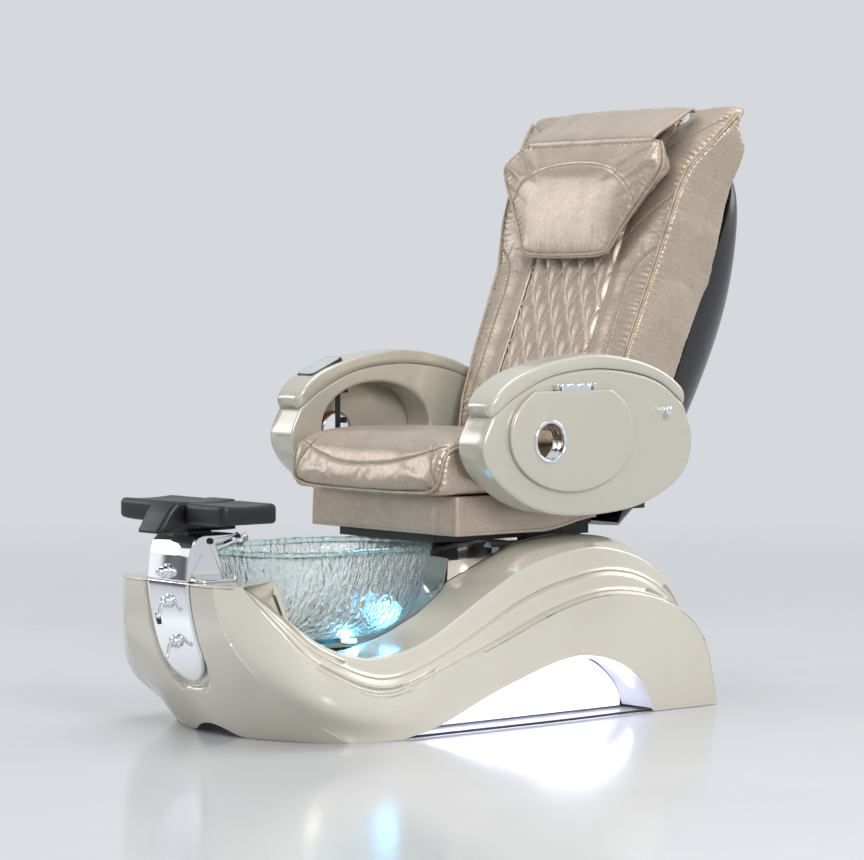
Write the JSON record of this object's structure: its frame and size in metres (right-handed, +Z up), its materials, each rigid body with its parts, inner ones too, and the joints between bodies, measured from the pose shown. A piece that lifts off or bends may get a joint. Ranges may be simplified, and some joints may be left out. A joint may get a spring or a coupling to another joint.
{
  "type": "pedicure spa chair",
  "caption": "Pedicure spa chair: reclining padded seat on a wave-shaped tub base with a glass foot bowl, chrome faucet column, footrest and folding side trays.",
  "frame": {"origin": "centre of the base's footprint on the floor, z = 0 at the floor", "axes": "+X to the sitter's left, +Y towards the back of the chair, +Z up"},
  "size_m": [0.848, 1.6167, 1.4304],
  "materials": {
    "pearl_shell": "pearl lacquer, high gloss",
    "pearl_arm": "pearl lacquer, satin gloss",
    "black_steel": "black powder coat",
    "steel": "brushed",
    "chrome": "polished",
    "brass": "cast",
    "white_panel": "diffusing white",
    "led": "lit strip",
    "bowl_glass": "hammered clear",
    "black_rubber": "moulded",
    "black_urethane": "moulded soft urethane, satin",
    "grey_plastic": "moulded",
    "black_plastic": "fine grain",
    "black_shell": "satin black shell",
    "leather": "metallic champagne upholstery",
    "plywood": "sealed plywood",
    "screen_glass": "pale touch panel"
  },
  "bodies": {
    "base": {"base_core": "pearl_shell", "wave_panel_left": "pearl_shell", "wave_panel_right": "pearl_shell", "base_pan": "black_steel", "light_panel_left": "white_panel", "light_panel_right": "white_panel", "led_strips": "led", "glass_bowl": "bowl_glass", "bowl_gasket": "black_rubber", "drain_fitting": "chrome", "jet_housing": "chrome", "bowl_light": "led", "faucet_panel": "chrome", "footrest_housing": "chrome", "housing_flange": "chrome", "valve_bodies": "brass", "slide_rails": "steel", "drain_pump": "grey_plastic", "control_box": "grey_plastic"},
    "impeller": {"jet_impeller": "grey_plastic"},
    "diverter": {"diverter_knob": "chrome"},
    "hot_tap": {"hot_handle": "chrome"},
    "cold_tap": {"cold_handle": "chrome"},
    "switch": {"power_switch": "black_plastic"},
    "sprayer": {"hand_sprayer": "chrome"},
    "footrest": {"footrest_bracket": "black_steel", "footrest_pad_left": "black_urethane", "footrest_pad_right": "black_urethane", "footrest_centre": "black_urethane"},
    "seat": {"seat_carriage": "black_steel", "seat_pan": "plywood", "seat_cushion": "leather", "seat_skirt": "leather", "slide_motor": "black_steel"},
    "back": {"back_frame": "black_steel", "back_shell": "black_shell", "back_cushion": "leather", "back_bolster_left": "leather", "back_bolster_right": "leather"},
    "pillow": {"head_pillow": "leather", "pillow_flap": "leather"},
    "massager": {"massage_carriage": "black_steel"},
    "roller_left": {"kneading_roller_left": "grey_plastic"},
    "roller_right": {"kneading_roller_right": "grey_plastic"},
    "arm_left": {"armrest_left": "pearl_arm", "arm_cap_left": "pearl_arm", "tray_hinge_pin_left": "steel", "purse_hook_left": "chrome", "tray_stay_left": "black_steel"},
    "arm_right": {"armrest_right": "pearl_arm", "arm_cap_right": "pearl_arm", "tray_hinge_pin_right": "steel", "purse_hook_right": "chrome", "tray_stay_right": "black_steel", "touch_remote": "screen_glass"},
    "tray_left": {"tray_left": "pearl_arm", "cup_ring_left": "chrome"},
    "tray_right": {"tray_right": "pearl_arm", "cup_ring_right": "chrome"}
  },
  "joints": [
    {"name": "seat_slide", "type": "slide", "parent": "base", "child": "seat", "axis": [0, -1, 0], "range_m": [-0.03, 0.08]},
    {"name": "recline", "type": "hinge", "parent": "seat", "child": "back", "pos_m": [0, 0.36, 0.49], "axis": [-1, 0, 0], "range_deg": [0, 30]},
    {"name": "arm_lift_left", "type": "hinge", "parent": "seat", "child": "arm_left", "pos_m": [0.352, 0.362, 0.612], "axis": [-1, 0, 0], "range_deg": [0, 70]},
    {"name": "arm_lift_right", "type": "hinge", "parent": "seat", "child": "arm_right", "pos_m": [-0.352, 0.362, 0.612], "axis": [-1, 0, 0], "range_deg": [0, 70]},
    {"name": "tray_fold_left", "type": "hinge", "parent": "arm_left", "child": "tray_left", "pos_m": [0.407, 0.085, 0.774], "axis": [0, -1, 0], "range_deg": [0, 90]},
    {"name": "tray_fold_right", "type": "hinge", "parent": "arm_right", "child": "tray_right", "pos_m": [-0.407, 0.085, 0.774], "axis": [0, 1, 0], "range_deg": [0, 90]},
    {"name": "pillow_flip", "type": "hinge", "parent": "back", "child": "pillow", "pos_m": [0, 0.63145, 1.42637], "axis": [-1, 0, 0], "range_deg": [0, 170]},
    {"name": "massage_travel", "type": "slide", "parent": "back", "child": "massager", "axis": [0, 0.3907, 0.9205], "range_m": [-0.15, 0.4]},
    {"name": "roller_spin_left", "type": "hinge", "parent": "massager", "child": "roller_left", "pos_m": [0.062, 0.47722, 0.76615], "axis": [0, -0.9205, 0.3907], "continuous": true},
    {"name": "roller_spin_right", "type": "hinge", "parent": "massager", "child": "roller_right", "pos_m": [-0.062, 0.47722, 0.76615], "axis": [0, -0.9205, 0.3907], "continuous": true},
    {"name": "impeller_spin", "type": "hinge", "parent": "base", "child": "impeller", "pos_m": [0, -0.1, 0.3], "axis": [0, 1, 0], "continuous": true},
    {"name": "diverter_turn", "type": "hinge", "parent": "base", "child": "diverter", "pos_m": [0, -0.78, 0.372], "axis": [0, -1, 0], "range_deg": [-45, 45]},
    {"name": "hot_turn", "type": "hinge", "parent": "base", "child": "hot_tap", "pos_m": [0, -0.77, 0.305], "axis": [0, -1, 0], "range_deg": [0, 90]},
    {"name": "cold_turn", "type": "hinge", "parent": "base", "child": "cold_tap", "pos_m": [0, -0.72, 0.215], "axis": [0, -1, 0], "range_deg": [0, 90]},
    {"name": "power_press", "type": "slide", "parent": "base", "child": "switch", "axis": [0, 1, 0], "range_m": [0, 0.002], "stiffness_N_per_m": 400, "springref_m": -0.002},
    {"name": "sprayer_pull", "type": "slide", "parent": "base", "child": "sprayer", "axis": [0, 0.9659, 0.2589], "range_m": [0, 0.12]},
    {"name": "footrest_tilt", "type": "hinge", "parent": "base", "child": "footrest", "pos_m": [0, -0.7, 0.44], "axis": [1, 0, 0], "range_deg": [0, 25]}
  ],
  "couplings": [
    {"joint": "roller_spin_right", "follows": "roller_spin_left", "ratio": -1}
  ]
}
